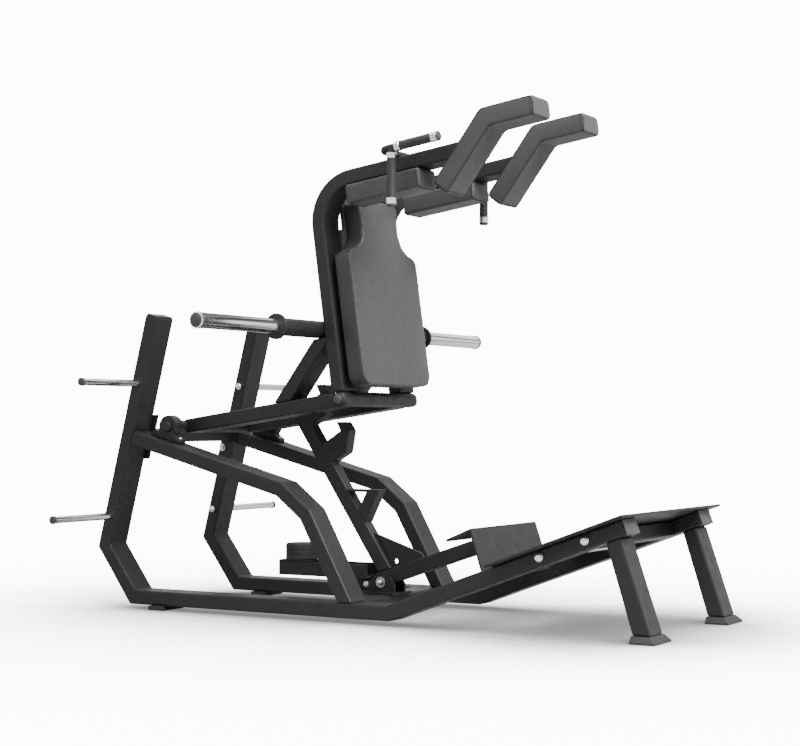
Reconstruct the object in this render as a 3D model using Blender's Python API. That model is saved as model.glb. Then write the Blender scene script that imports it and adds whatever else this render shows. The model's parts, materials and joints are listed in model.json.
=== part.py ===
"""Plate-loaded lever squat machine: fixed frame, pivoting arm and catch lever.

Metres. +X forward towards the foot platform, +Z up, floor at Z = 0, Y = 0 is the
middle plane. Right-hand pieces are at Y < 0 and left-hand pieces at Y > 0.
"""
import bpy
import bmesh
from math import atan2, cos, pi, radians, sin, sqrt
from mathutils import Vector

# General
X_CENTRE = -0.0806          # shift that puts the machine's middle at X = 0
GAP = 0.0004                # air left between pieces that touch
TUBE = 0.050                # frame tube, thin way
WIDE = 0.100                # frame tube, wide way (along Y)
EDGE = 0.006                # rounded tube corner
ROUND = 28                  # sides of a turned piece

# Fixed frame, side view
OUT_Y = 0.358               # outer face of a side frame
IN_Y = OUT_Y - WIDE
SOLE_Z = 0.016              # underside of the base rail
UPRIGHT_TOP = (-0.898, 1.034)
UPRIGHT_KINK = (-1.108, 0.225)
BASE_REAR = (-0.990, SOLE_Z + TUBE)
RAMP_FOOT = (0.065, SOLE_Z)
RAMP_ANGLE = radians(20.1)
RAMP_LENGTH = 0.893
CAP_T = 0.004

# Side arches
ARCH_REAR = (-1.004, 0.633)
ARCH_KNEE = (-0.358, 0.459)
ARCH_BEND = (-0.244, 0.370)
ARCH_FOOT = (-0.076, SOLE_Z + TUBE)

# Cross members
REAR_TUBE_Z = (0.590, 0.640)
REAR_FLANGE_Z = (0.530, 0.690)
REAR_FLANGE_T = 0.010
REAR_FLANGE_LIP = 0.015
BASE_TUBE_X = (-0.205, -0.105)
FRONT_BEAM_R = (0.745, 0.795)
FRONT_BEAM_S = (-0.002, 0.048)

# Platform, legs and feet
PLATE_T = 0.008
PLATE_R = (0.424, 0.922)
PLATE_HALF = 0.410
LEG_TOP_X = (0.831, 0.884)
LEG_FOOT_X = (0.921, 0.980)
BOOT_X = (0.918, 1.000)
BOOT_Y = (0.241, 0.377)
BOOT_Z = 0.023
FOOT_X = (-0.921, -0.856)
FOOT_Y = (0.248, 0.368)
TIE_ROD_R = (0.594, 0.759)
TIE_ROD_S = 0.0285

# Storage pegs
PEG_AT = (("upper", -0.982, 0.801), ("lower", -1.108, 0.325))
PEG_TIP = 0.658
PEG_RADIUS = 0.0125
BOLT_R = 0.008
BORE_R = 0.0086

# Arm pivot
PIVOT = (-0.870, 0.647)
ARM_TILT = radians(8.0)
BLOCK_Y = (0.288, 0.326)
BLOCK_R = 0.040
BLOCK_BASE = 0.065
JOURNAL_R = 0.015
AXLE_R = 0.0225

# Arm, in its own frame: u along the rails, v square to them, 0 at the pivot
ARM_Y = (0.138, 0.238)
RAIL_U = (0.008, 0.6505)
CROSS_U = (0.651, 0.701)
CROSS_HALF = 0.252
SPINE_U = 0.644
BOOM_V = 0.768
BEND_R = 0.170
HORN_UV = (0.6136, 0.250)
HORN_R = 0.030
HORN_HALF = 0.470
HORN_FLANGE_R = 0.041
SLEEVE_R = 0.025
SLEEVE_TIP = 0.906
CATCH_BAR_UV = (0.5225, 0.0175)
CATCH_BAR_R = 0.015

# Pads
BACK_U = (0.712, 0.777)
BACK_BOARD_U = (0.6945, 0.7115)
BOARD_LOW = (0.195, 0.070)
BOARD_MID = (0.152, 0.590)
BOARD_HIGH = (0.128, 0.705)
BOARD_STEP_V = 0.500
BACK_HALF = 0.225
PAD_EDGE = 0.005
NECK_HALF = 0.120
BACK_V = (0.036, 0.690)
REAR_PAD_U = (0.800, 1.093)
REAR_PAD_V = (0.650, 0.7165)
REAR_PAD_Y = (0.130, 0.246)
FRONT_PAD_T = 0.065
FRONT_PAD_HEEL = (1.142, 0.651)
FRONT_PAD_KNEE = (1.346, 0.855)
FRONT_PAD_NOSE = 1.540
FRONT_PAD_Y = (0.1280, 0.2500)

# Handles
HANDLE_Y = 0.320
HANDLE_R = 0.0125
RING_R = 0.0168
GRIP_R = 0.0156
HANDLE_BEND = 0.030
HANDLE_U = 1.003
TOP_GRIP_U = (1.080, 1.198)
DROP_X = 0.055
DROP_GRIP_Z = (1.402, 1.529)
DROP_END_Z = 1.376

# Catch lever, round its own pivot
CATCH = (-0.158, 0.108)
LEVER_LEAN = radians(33.5)
LEVER_HALF = 0.025
LEVER_TOP = 0.697
HOOK_PITCH = 0.159
PEDAL_ARM_ANGLE = radians(18.66)
PEDAL_ARM_P = -0.022
PEDAL_ARM_M = (-0.014, 0.036)
PEDAL_HALF = 0.235
PEDAL_T = 0.008
PEDAL_PATH = ((0.211, 0.2795), (0.303, 0.3190), (0.357, 0.158))
EAR_Y = (0.029, 0.039)
BUSH_R = 0.020

# Stop beam and bumper
STOP_X = (-0.582, -0.2105)
STOP_Z = (0.117, 0.167)
STOP_WALL = 0.008
BUMPER_X = -0.516
BUMPER_R = 0.0575
BUMPER_Z = (0.172, 0.230)

PAINT = (0.028, 0.030, 0.033)
PAD = (0.070, 0.070, 0.072)
CHROME = (0.80, 0.81, 0.83)
RUBBER = (0.020, 0.020, 0.021)
SATIN = (0.62, 0.63, 0.65)


def clear_scene():
    for thing in list(bpy.data.objects):
        bpy.data.objects.remove(thing, do_unlink=True)


def material(name, colour, rough, metal):
    made = bpy.data.materials.new(name)
    made.use_nodes = True
    shader = made.node_tree.nodes["Principled BSDF"]
    shader.inputs["Base Color"].default_value = (*colour, 1.0)
    shader.inputs["Roughness"].default_value = rough
    shader.inputs["Metallic"].default_value = metal
    return made


LOOKS = {
    "paint": (PAINT, 0.55, 0.0),
    "pad": (PAD, 0.60, 0.0),
    "chrome": (CHROME, 0.12, 1.0),
    "rubber": (RUBBER, 0.75, 0.0),
    "satin": (SATIN, 0.35, 1.0),
}


def make(name, verts, faces, look, home=(0.0, 0.0), smooth=False):
    """One named closed mesh whose origin lies on its joint axis."""
    base = Vector((home[0], 0.0, home[1]))
    mesh = bpy.data.meshes.new(name)
    mesh.from_pydata([Vector(p) - base for p in verts], [], faces)
    bm = bmesh.new()
    bm.from_mesh(mesh)
    bmesh.ops.recalc_face_normals(bm, faces=bm.faces)
    bm.to_mesh(mesh)
    bm.free()
    item = bpy.data.objects.new(name, mesh)
    item.location = base + Vector((-X_CENTRE, 0.0, 0.0))
    bpy.context.scene.collection.objects.link(item)
    if look:
        mesh.materials.append(material(name, *LOOKS[look]))
    for face in mesh.polygons:
        face.use_smooth = smooth
    if smooth:
        mesh.set_sharp_from_angle(angle=radians(40))
    return item


def prism(name, ring, shift, look, home=(0.0, 0.0), edge=EDGE):
    """A flat closed ring of points pushed along a straight shift."""
    count = len(ring)
    near = [Vector(p) for p in ring]
    verts = near + [p + Vector(shift) for p in near]
    faces = [tuple(range(count)), tuple(range(2 * count - 1, count - 1, -1))]
    for i in range(count):
        j = (i + 1) % count
        faces.append((i, j, count + j, count + i))
    item = make(name, verts, faces, look, home)
    if edge:
        round_edges(item, edge)
    return item


def round_edges(item, width, segments=2):
    mod = item.modifiers.new("edge", "BEVEL")
    mod.width = width
    mod.segments = segments
    mod.limit_method = "ANGLE"
    mod.angle_limit = radians(40)


def side_prism(name, outline, y0, y1, look, home=(0.0, 0.0), edge=EDGE):
    """A side-view outline of (x, z) points pushed from y0 to y1."""
    ring = [(x, y0, z) for x, z in outline]
    return prism(name, ring, (0.0, y1 - y0, 0.0), look, home, edge)


def turned(name, profile, centre, look, home=(0.0, 0.0), sides=ROUND):
    """A solid of (y, radius) steps turned about an axis along Y."""
    verts = [(centre[0], profile[0][0], centre[1])]
    for y, r in profile:
        for k in range(sides):
            a = 2.0 * pi * k / sides
            verts.append((centre[0] + r * cos(a), y, centre[1] + r * sin(a)))
    verts.append((centre[0], profile[-1][0], centre[1]))
    faces = []
    for k in range(sides):
        faces.append((0, 1 + k, 1 + (k + 1) % sides))
    for i in range(len(profile) - 1):
        for k in range(sides):
            a = 1 + i * sides + k
            b = 1 + i * sides + (k + 1) % sides
            faces.append((a, a + sides, b + sides, b))
    last = 1 + (len(profile) - 1) * sides
    for k in range(sides):
        faces.append((len(verts) - 1, last + (k + 1) % sides, last + k))
    return make(name, verts, faces, look, home, smooth=True)


def boolean(item, cutter, kind):
    mod = item.modifiers.new(kind.lower(), "BOOLEAN")
    mod.operation = kind
    mod.solver = "EXACT"
    mod.object = cutter
    cutter.hide_render = True
    cutter.display_type = "WIRE"


def bore(item, name, centre, radius, y0, y1, home=(0.0, 0.0)):
    tool = turned(name, [(y0, radius), (y1, radius)], centre, None, home, 24)
    boolean(item, tool, "DIFFERENCE")


def sides():
    """Names and Y signs of the two sides."""
    return (("right", -1.0), ("left", 1.0))


def cross(a, b, c, d):
    """Where the line a-b meets the line c-d, all (x, z)."""
    rx, rz = b[0] - a[0], b[1] - a[1]
    sx, sz = d[0] - c[0], d[1] - c[1]
    t = ((c[0] - a[0]) * sz - (c[1] - a[1]) * sx) / (rx * sz - rz * sx)
    return (a[0] + t * rx, a[1] + t * rz)


def offset_line(a, b, distance):
    """The line a-b moved to its left by a distance."""
    dx, dz = b[0] - a[0], b[1] - a[1]
    size = sqrt(dx * dx + dz * dz)
    nx, nz = -dz / size * distance, dx / size * distance
    return (a[0] + nx, a[1] + nz), (b[0] + nx, b[1] + nz)


def mitred(path, thickness):
    """Outline of a bent tube: the given edge path plus its parallel edge."""
    lines = [offset_line(a, b, thickness) for a, b in zip(path, path[1:])]
    far = [lines[0][0]]
    for one, two in zip(lines, lines[1:]):
        far.append(cross(*one, *two))
    far.append(lines[-1][1])
    return list(path) + far[::-1]


def ramp(r, s):
    """Ramp frame: r up along the underside of the ramp rail, s square to it."""
    x = RAMP_FOOT[0] + r * cos(RAMP_ANGLE) - s * sin(RAMP_ANGLE)
    z = RAMP_FOOT[1] + r * sin(RAMP_ANGLE) + s * cos(RAMP_ANGLE)
    return (x, z)


def arm(u, v):
    x = PIVOT[0] + u * cos(ARM_TILT) - v * sin(ARM_TILT)
    z = PIVOT[1] + u * sin(ARM_TILT) + v * cos(ARM_TILT)
    return (x, z)


def lever(n, w):
    """Lever frame: w up the lever's rear face, n forward across it."""
    x = CATCH[0] + n * cos(LEVER_LEAN) - w * sin(LEVER_LEAN)
    z = CATCH[1] + n * sin(LEVER_LEAN) + w * cos(LEVER_LEAN)
    return (x, z)


def pedal(p, m):
    x = CATCH[0] + p * cos(PEDAL_ARM_ANGLE) - m * sin(PEDAL_ARM_ANGLE)
    z = CATCH[1] + p * sin(PEDAL_ARM_ANGLE) + m * cos(PEDAL_ARM_ANGLE)
    return (x, z)


def arc(centre, radius, start, end, steps):
    points = []
    for k in range(steps + 1):
        a = radians(start + (end - start) * k / steps)
        points.append((centre[0] + radius * cos(a), centre[1] + radius * sin(a)))
    return points


# ---------------------------------------------------------------- fixed frame

def frame_outline():
    """Upright, rear kick, base rail and ramp rail as one bent tube."""
    front = [UPRIGHT_TOP, UPRIGHT_KINK, BASE_REAR]
    rear = mitred(front, -TUBE)[3:][::-1]
    floor_rear = cross(rear[1], rear[2], (-1.2, SOLE_Z), (0.0, SOLE_Z))
    inner_kink = cross(BASE_REAR, (0.0, SOLE_Z + TUBE), ramp(0.0, TUBE), ramp(1.0, TUBE))
    return [rear[0], rear[1], floor_rear, RAMP_FOOT, ramp(RAMP_LENGTH, 0.0),
            ramp(RAMP_LENGTH, TUBE), inner_kink, BASE_REAR, UPRIGHT_KINK, UPRIGHT_TOP]


def side_frames():
    outline = frame_outline()
    for side, sign in sides():
        y0, y1 = sign * IN_Y, sign * OUT_Y
        item = side_prism("frame_side_" + side, outline, y0, y1, "paint")
        for which, x, z in PEG_AT:
            name = "cut_peg_" + which + "_" + side
            bore(item, name, (x, z), BORE_R, y0 - 0.01 * sign, y1 + 0.01 * sign)
        for k, r in enumerate(TIE_ROD_R):
            name = "cut_tie_" + str(k) + "_" + side
            bore(item, name, ramp(r, TIE_ROD_S), BORE_R, y0 - 0.01 * sign, y1 + 0.01 * sign)


def upright_caps():
    rear = mitred([UPRIGHT_TOP, UPRIGHT_KINK], -TUBE)[2:][::-1][0]
    line = offset_line(UPRIGHT_TOP, rear, -GAP)
    top = offset_line(UPRIGHT_TOP, rear, -GAP - CAP_T)
    for side, sign in sides():
        name = "upright_cap_" + side
        outline = [line[0], line[1], top[1], top[0]]
        side_prism(name, outline, sign * IN_Y, sign * OUT_Y, "rubber", edge=0.0015)


def side_arches():
    upright = offset_line(UPRIGHT_TOP, UPRIGHT_KINK, GAP)
    top = [ARCH_REAR, ARCH_KNEE, ARCH_BEND, ARCH_FOOT]
    full = mitred(top, -TUBE)
    under = full[4:][::-1]
    floor = ((-1.0, SOLE_Z + TUBE + GAP), (0.0, SOLE_Z + TUBE + GAP))
    outline = [cross(top[0], top[1], *upright), top[1], top[2],
               cross(top[2], top[3], *floor), cross(under[2], under[3], *floor),
               under[2], under[1], cross(under[0], under[1], *upright)]
    for side, sign in sides():
        side_prism("side_arch_" + side, outline, sign * IN_Y, sign * OUT_Y, "paint")


def upright_x(z, front):
    """X of the upright's front or rear face at a height."""
    slope = (UPRIGHT_TOP[0] - UPRIGHT_KINK[0]) / (UPRIGHT_TOP[1] - UPRIGHT_KINK[1])
    x = UPRIGHT_KINK[0] + (z - UPRIGHT_KINK[1]) * slope
    return x if front else x - TUBE * sqrt(1.0 + slope * slope)


def rear_crosstube():
    low, high = REAR_TUBE_Z
    y = IN_Y - GAP
    outline = [(upright_x(low, False), low), (upright_x(low, True), low),
               (upright_x(high, True), high), (upright_x(high, False), high)]
    item = side_prism("rear_crosstube", outline, -y + 0.004, y - 0.004, "paint")
    a, b = REAR_FLANGE_Z
    lip = REAR_FLANGE_LIP
    plate = [(upright_x(a, False), a), (upright_x(a, True) + lip, a),
             (upright_x(b, True) + lip, b), (upright_x(b, False), b)]
    for side, sign in sides():
        name = "join_flange_" + side
        tool = side_prism(name, plate, sign * (y - REAR_FLANGE_T), sign * y, None, edge=0.0)
        boolean(item, tool, "UNION")


def base_crosstube():
    x0, x1 = BASE_TUBE_X
    y = IN_Y - GAP
    outline = [(x0, SOLE_Z), (x1, SOLE_Z), (x1, SOLE_Z + TUBE), (x0, SOLE_Z + TUBE)]
    side_prism("base_crosstube", outline, -y, y, "paint")


def front_beam():
    r0, r1 = FRONT_BEAM_R
    s0, s1 = FRONT_BEAM_S
    y = IN_Y - GAP
    outline = [ramp(r0, s0), ramp(r1, s0), ramp(r1, s1), ramp(r0, s1)]
    item = side_prism("front_beam", outline, -y, y, "paint")
    bore(item, "cut_front_beam", ramp(TIE_ROD_R[1], TIE_ROD_S), BORE_R, -y - 0.01, y + 0.01)


def platform():
    r0, r1 = PLATE_R
    s0, s1 = TUBE + GAP, TUBE + GAP + PLATE_T
    outline = [ramp(r0, s0), ramp(r1, s0), ramp(r1, s1), ramp(r0, s1)]
    side_prism("platform_plate", outline, -PLATE_HALF, PLATE_HALF, "paint", edge=0.002)


def legs():
    a, b = LEG_TOP_X
    c, d = LEG_FOOT_X
    under = (ramp(0.0, -GAP), ramp(1.0, -GAP))
    foot_z = BOOT_Z + GAP
    outline = [cross((a, 0.31), (c, foot_z), *under), (c, foot_z), (d, foot_z),
               cross((b, 0.31), (d, foot_z), *under)]
    for side, sign in sides():
        side_prism("leg_" + side, outline, sign * IN_Y, sign * OUT_Y, "paint")


def boot(side, sign):
    """Flared rubber boot: a small top, a wide sole and a short straight rim."""
    y0, y1 = BOOT_Y
    x0, x1 = BOOT_X
    rim = 0.003
    rows = ((x0, x1, y0, y1, 0.0), (x0, x1, y0, y1, 0.005),
            (LEG_FOOT_X[0] - rim, LEG_FOOT_X[1] + rim, IN_Y - rim, OUT_Y + rim, BOOT_Z))
    verts = []
    for xa, xb, ya, yb, z in rows:
        verts += [(xa, sign * ya, z), (xb, sign * ya, z), (xb, sign * yb, z), (xa, sign * yb, z)]
    faces = [(0, 1, 2, 3), (8, 9, 10, 11)]
    for low in (0, 4):
        for k in range(4):
            j = (k + 1) % 4
            faces.append((low + k, low + j, low + 4 + j, low + 4 + k))
    item = make("boot_" + side, verts, faces, "rubber")
    round_edges(item, 0.0015)


def feet():
    for side, sign in sides():
        boot(side, sign)
        x0, x1 = FOOT_X
        top = SOLE_Z - GAP
        outline = [(x0, 0.0), (x1, 0.0), (x1, top), (x0, top)]
        y0, y1 = FOOT_Y
        side_prism("rear_foot_" + side, outline, sign * y0, sign * y1, "rubber", edge=0.0015)


def ramp_caps():
    r0, r1 = RAMP_LENGTH + GAP, RAMP_LENGTH + GAP + CAP_T
    outline = [ramp(r0, 0.001), ramp(r1, 0.001), ramp(r1, TUBE - 0.001), ramp(r0, TUBE - 0.001)]
    for side, sign in sides():
        y0, y1 = sign * (IN_Y + 0.001), sign * (OUT_Y - 0.001)
        side_prism("ramp_cap_" + side, outline, y0, y1, "satin", edge=0.001)


def pegs():
    head = IN_Y - GAP
    root = OUT_Y + GAP
    profile = [(head - 0.010, 0.012), (head, 0.012), (head, BOLT_R), (root, BOLT_R),
               (root, PEG_RADIUS), (PEG_TIP - 0.008, PEG_RADIUS),
               (PEG_TIP - 0.008, PEG_RADIUS + 0.0015), (PEG_TIP, PEG_RADIUS + 0.0015)]
    for which, x, z in PEG_AT:
        for side, sign in sides():
            steps = [(sign * y, r) for y, r in profile]
            turned("storage_peg_" + which + "_" + side, steps, (x, z), "chrome")


def tie_rods():
    face = OUT_Y + GAP
    for which, r in zip(("rear", "front"), TIE_ROD_R):
        half = [(face, BOLT_R), (face, 0.015), (face + 0.006, 0.015), (face + 0.009, 0.011)]
        steps = [(-y, radius) for y, radius in half[::-1]] + half
        turned("tie_rod_" + which, steps, ramp(r, TIE_ROD_S), "satin", sides=20)


def pillow_blocks():
    """Bearing blocks standing on the arches, closed on their outer side."""
    slope = atan2(ARCH_KNEE[1] - ARCH_REAR[1], ARCH_KNEE[0] - ARCH_REAR[0])
    drop = (PIVOT[0] - ARCH_REAR[0]) * sin(slope) - (PIVOT[1] - ARCH_REAR[1]) * cos(slope)
    low = drop + GAP
    local = [(-BLOCK_BASE, low), (BLOCK_BASE, low), (BLOCK_BASE, low + 0.014)]
    local += arc((0.0, 0.0), BLOCK_R, -32.0, 212.0, 18)
    local += [(-BLOCK_BASE, low + 0.014)]
    outline = []
    for a, b in local:
        x = PIVOT[0] + a * cos(slope) - b * sin(slope)
        z = PIVOT[1] + a * sin(slope) + b * cos(slope)
        outline.append((x, z))
    y0, y1 = BLOCK_Y
    for side, sign in sides():
        item = side_prism("pillow_block_" + side, outline, sign * y0, sign * y1, "paint",
                          edge=0.0025)
        lid = turned("join_lid_" + side, [(sign * (y1 - 0.004), 0.0185), (sign * (y1 + 0.008), 0.0185),
                                          (sign * (y1 + 0.011), 0.0150)], PIVOT, None)
        boolean(item, lid, "UNION")
        bore(item, "cut_bearing_" + side, PIVOT, JOURNAL_R + 0.0005, sign * (y0 - 0.01),
             sign * (y1 - 0.003))


def catch_bracket():
    """Base plate with two ears for the catch pivot and a post for the stop beam."""
    z0 = SOLE_Z + TUBE + GAP
    plate = [(-0.275, z0), (-0.095, z0), (-0.095, z0 + 0.008), (-0.275, z0 + 0.008)]
    item = side_prism("catch_bracket", plate, -0.062, 0.062, "paint", edge=0.0)
    ear = [(-0.238, z0 + 0.004), (-0.105, z0 + 0.004), (-0.105, 0.100), (-0.122, 0.128),
           (-0.186, 0.128), (-0.202, 0.113), (-0.238, 0.113)]
    post = [(-0.272, z0 + 0.004), (-0.222, z0 + 0.004), (-0.222, STOP_Z[0] - GAP),
            (-0.272, STOP_Z[0] - GAP)]
    for side, sign in sides():
        y0, y1 = sign * EAR_Y[0], sign * EAR_Y[1]
        boolean(item, side_prism("join_ear_" + side, ear, y0, y1, None, edge=0.0), "UNION")
    boolean(item, side_prism("join_post", post, -0.030, 0.030, None, edge=0.0), "UNION")
    bore(item, "cut_ears", CATCH, BORE_R, -0.08, 0.08)


def pivot_bolt():
    ear_in, ear_out = EAR_Y[0] - GAP, EAR_Y[1] + GAP
    bush = LEVER_HALF + GAP
    half = [(bush, BOLT_R), (bush, BUSH_R), (ear_in, BUSH_R), (ear_in, BOLT_R),
            (ear_out, BOLT_R), (ear_out, 0.0185), (ear_out + 0.004, 0.0185),
            (ear_out + 0.004, 0.010), (ear_out + 0.012, 0.010)]
    steps = [(-y, r) for y, r in half[::-1]] + half
    turned("pivot_bolt", steps, CATCH, "satin", sides=24)


def stop_beam():
    """Channel, open on top, that the catch lever drops into."""
    x0, x1 = STOP_X
    z0, z1 = STOP_Z
    half, wall = WIDE / 2.0, STOP_WALL
    ring = [(x0, -half, z0), (x0, half, z0), (x0, half, z1), (x0, half - wall, z1),
            (x0, half - wall, z0 + wall), (x0, wall - half, z0 + wall),
            (x0, wall - half, z1), (x0, -half, z1)]
    prism("stop_beam", ring, (x1 - x0, 0.0, 0.0), "paint", edge=0.0015)
    seat = [(x0, z1 + GAP), (x0 + 0.125, z1 + GAP), (x0 + 0.125, BUMPER_Z[0] - GAP),
            (x0, BUMPER_Z[0] - GAP)]
    side_prism("bumper_seat", seat, -half, half, "paint", edge=0.001)


def bumper():
    """Ribbed rubber disc, turned about a vertical axis."""
    z0, z1 = BUMPER_Z
    r = BUMPER_R
    steps = [(z0, r - 0.003)]
    rib = (z1 - z0 - 0.006) / 3.0
    for k in range(3):
        a = z0 + 0.003 + k * rib
        steps += [(a, r), (a + rib * 0.82, r), (a + rib * 0.86, r - 0.0015),
                  (a + rib * 0.96, r - 0.0015)]
    steps += [(z1, r - 0.006)]
    sides_n = 32
    verts = [(BUMPER_X, 0.0, z0)]
    for z, radius in steps:
        for k in range(sides_n):
            a = 2.0 * pi * k / sides_n
            verts.append((BUMPER_X + radius * cos(a), radius * sin(a), z))
    verts.append((BUMPER_X, 0.0, z1))
    faces = [(0, 1 + (k + 1) % sides_n, 1 + k) for k in range(sides_n)]
    for i in range(len(steps) - 1):
        for k in range(sides_n):
            a = 1 + i * sides_n + k
            b = 1 + i * sides_n + (k + 1) % sides_n
            faces.append((a, b, b + sides_n, a + sides_n))
    last = 1 + (len(steps) - 1) * sides_n
    faces += [(len(verts) - 1, last + k, last + (k + 1) % sides_n) for k in range(sides_n)]
    make("rubber_bumper", verts, faces, "rubber", smooth=True)


# ------------------------------------------------------------------------ arm

def arm_axle():
    half = [(0.283, AXLE_R), (0.283, JOURNAL_R), (0.320, JOURNAL_R)]
    steps = [(-y, r) for y, r in half[::-1]] + half
    turned("arm_axle", steps, PIVOT, "paint", PIVOT)


def arm_outline(points):
    return [arm(u, v) for u, v in points]


def arm_rails():
    u0, u1 = RAIL_U
    h = TUBE / 2.0
    outline = arm_outline([(u0, -h), (u1, -h), (u1, h), (u0, h)])
    for side, sign in sides():
        y0, y1 = sign * ARM_Y[0], sign * ARM_Y[1]
        item = side_prism("arm_rail_" + side, outline, y0, y1, "paint", PIVOT)
        bore(item, "cut_axle_" + side, PIVOT, AXLE_R + GAP, y0 - 0.01 * sign, y1 + 0.01 * sign, PIVOT)


def arm_front_crosstube():
    u0, u1 = CROSS_U
    h = TUBE / 2.0
    outline = arm_outline([(u0, -h), (u1, -h), (u1, h), (u0, h)])
    item = side_prism("arm_front_crosstube", outline, -CROSS_HALF, CROSS_HALF, "paint", PIVOT, 0.0)
    round_edges(item, 0.019, 4)


def spines():
    """Twin tubes that rise from the rails and bend forward into the booms."""
    u0 = SPINE_U
    centre = (u0 + BEND_R, BOOM_V - BEND_R)
    foot = TUBE / 2.0 + GAP
    heel_u, heel_v = FRONT_PAD_HEEL
    end_top = heel_u + (BOOM_V - heel_v) - 2.0 * GAP
    end_low = heel_u + (BOOM_V - TUBE - heel_v) - 2.0 * GAP
    ring = [(u0, foot)] + arc(centre, BEND_R, 180.0, 90.0, 10)
    ring += [(end_top, BOOM_V), (end_low, BOOM_V - TUBE)]
    ring += arc(centre, BEND_R - TUBE, 90.0, 180.0, 10) + [(u0 + TUBE, foot)]
    for side, sign in sides():
        y0, y1 = sign * ARM_Y[0], sign * ARM_Y[1]
        side_prism("spine_" + side, arm_outline(ring), y0, y1, "paint", PIVOT)


def braces():
    foot = TUBE / 2.0 + GAP
    rear_u, front_u = 0.4019, 0.4726
    face = SPINE_U - GAP
    top = HORN_UV[1] - HORN_R - 0.0015
    ring = [(rear_u, foot), (rear_u + top - foot, top), (face, top),
            (face, foot + face - front_u), (front_u, foot)]
    for side, sign in sides():
        y0, y1 = sign * ARM_Y[0], sign * ARM_Y[1]
        side_prism("brace_" + side, arm_outline(ring), y0, y1, "paint", PIVOT)


def weight_horn():
    half = [(HORN_HALF, HORN_R), (HORN_HALF, HORN_FLANGE_R), (HORN_HALF + 0.008, HORN_FLANGE_R)]
    steps = [(-y, r) for y, r in half[::-1]] + half
    turned("weight_horn_tube", steps, arm(*HORN_UV), "paint", PIVOT, 36)
    root = HORN_HALF + 0.008 + GAP
    profile = [(root, SLEEVE_R), (SLEEVE_TIP - 0.010, SLEEVE_R), (SLEEVE_TIP - 0.010, SLEEVE_R + 0.0015),
               (SLEEVE_TIP - 0.002, SLEEVE_R + 0.0015), (SLEEVE_TIP, SLEEVE_R - 0.001)]
    for side, sign in sides():
        steps = [(sign * y, r) for y, r in profile]
        turned("weight_sleeve_" + side, steps, arm(*HORN_UV), "chrome", PIVOT, 36)


def catch_bar():
    y = ARM_Y[0] - GAP
    turned("catch_bar", [(-y, CATCH_BAR_R), (y, CATCH_BAR_R)], arm(*CATCH_BAR_UV), "paint", PIVOT)


def back_pad_half():
    """Right half of the back pad's front view, from the bottom up: (y, v)."""
    v0, v1 = BACK_V
    body = BACK_HALF
    points = arc((body - 0.040, v0 + 0.040), 0.040, -90.0, 0.0, 5)
    points += arc((body - 0.045, 0.466), 0.045, 0.0, 62.0, 4)
    points += arc((NECK_HALF + 0.085, 0.590), 0.085, -110.0, -180.0, 5)
    points += [(NECK_HALF + 0.004, 0.640)]
    points += arc((NECK_HALF - 0.020, v1 - 0.030), 0.030, 0.0, 90.0, 4)
    return points


def back_pad():
    half = back_pad_half()
    loop = half + [(-y, v) for y, v in half[::-1]]
    u0, u1 = BACK_U
    ring = []
    for y, v in loop:
        x, z = arm(u0, v)
        ring.append((x, y, z))
    depth = u1 - u0
    shift = (depth * cos(ARM_TILT), 0.0, depth * sin(ARM_TILT))
    item = prism("back_pad", ring, shift, "pad", PIVOT, 0.0)
    round_edges(item, PAD_EDGE, 2)


def back_board():
    """Stepped board behind the back pad, narrowest at its neck."""
    u0, u1 = BACK_BOARD_U
    low_y, low_v = BOARD_LOW
    high_y, high_v = BOARD_HIGH
    mid_y, mid_v = BOARD_MID
    half = [(low_y, low_v), (low_y, BOARD_STEP_V), (mid_y, BOARD_STEP_V), (mid_y, mid_v),
            (high_y, mid_v), (high_y, high_v)]
    loop = half + [(-y, v) for y, v in half[::-1]]
    ring = [(arm(u0, v)[0], y, arm(u0, v)[1]) for y, v in loop]
    depth = u1 - u0
    shift = (depth * cos(ARM_TILT), 0.0, depth * sin(ARM_TILT))
    prism("back_board", ring, shift, "rubber", PIVOT, 0.002)


def rear_pads():
    u0, u1 = REAR_PAD_U
    v0, v1 = REAR_PAD_V
    outline = arm_outline([(u0, v0), (u1, v0), (u1, v1), (u0, v1)])
    for side, sign in sides():
        y0, y1 = sign * REAR_PAD_Y[0], sign * REAR_PAD_Y[1]
        side_prism("rear_shoulder_pad_" + side, outline, y0, y1, "pad", PIVOT, PAD_EDGE)


def front_pads():
    """Bent shoulder pads: a leg at 45 degrees to the boom and a level nose."""
    heel, knee = FRONT_PAD_HEEL, FRONT_PAD_KNEE
    nose = (FRONT_PAD_NOSE, knee[1])
    ring = mitred([heel, knee, nose], -FRONT_PAD_T)
    for side, sign in sides():
        y0, y1 = sign * FRONT_PAD_Y[0], sign * FRONT_PAD_Y[1]
        name = "front_shoulder_pad_" + side
        side_prism(name, arm_outline(ring), y0, y1, "pad", PIVOT, PAD_EDGE)


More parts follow.
